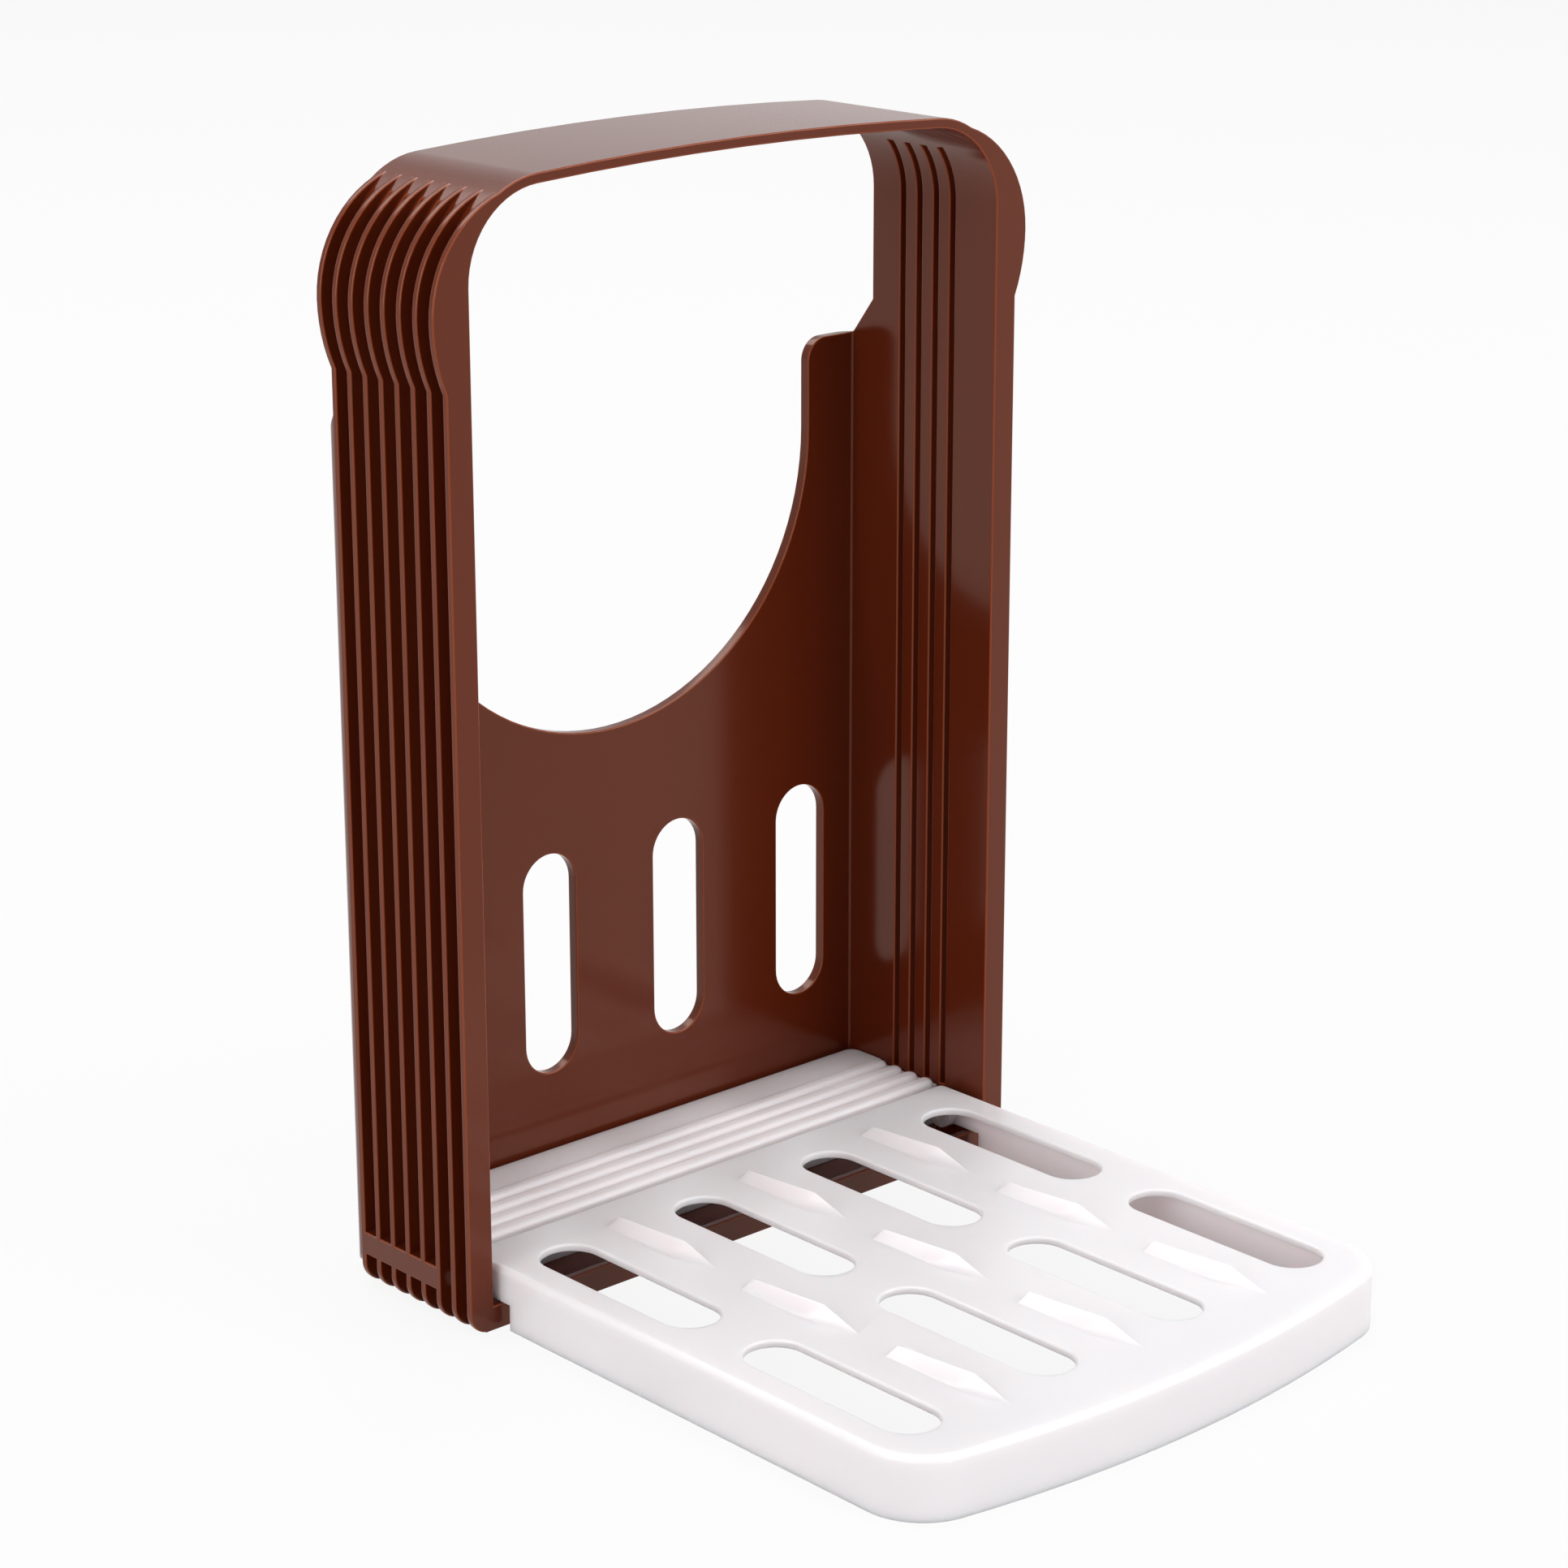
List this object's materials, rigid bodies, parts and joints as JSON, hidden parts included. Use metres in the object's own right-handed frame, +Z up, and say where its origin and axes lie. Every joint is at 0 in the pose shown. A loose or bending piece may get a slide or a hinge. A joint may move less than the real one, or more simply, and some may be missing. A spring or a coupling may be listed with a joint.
{
  "type": "bread slicer guide",
  "caption": "Upright comb frame that holds a loaf against its back plate while a knife runs in its slots, with a grooved cutting base and a slotted tray that folds out onto the table.",
  "frame": {"origin": "centre of the frame's underside, on the table", "axes": "+Z up, +X right, the open mouth and the unfolded tray face -Y, the back plate is at +Y"},
  "size_m": [0.1574, 0.1725, 0.234],
  "materials": {
    "brown_plastic": "glossy moulded brown",
    "white_plastic": "glossy moulded white",
    "pin_plastic": "moulded off-white"
  },
  "bodies": {
    "frame": {"frame": "brown_plastic", "cutting_base": "white_plastic"},
    "tray": {"tray": "white_plastic", "hinge_pin_left": "pin_plastic", "hinge_pin_right": "pin_plastic"}
  },
  "joints": [
    {"name": "tray_hinge", "type": "hinge", "parent": "frame", "child": "tray", "pos_m": [0, -0.0151, 0.008], "axis": [-1, 0, 0], "range_deg": [0, 90]}
  ]
}
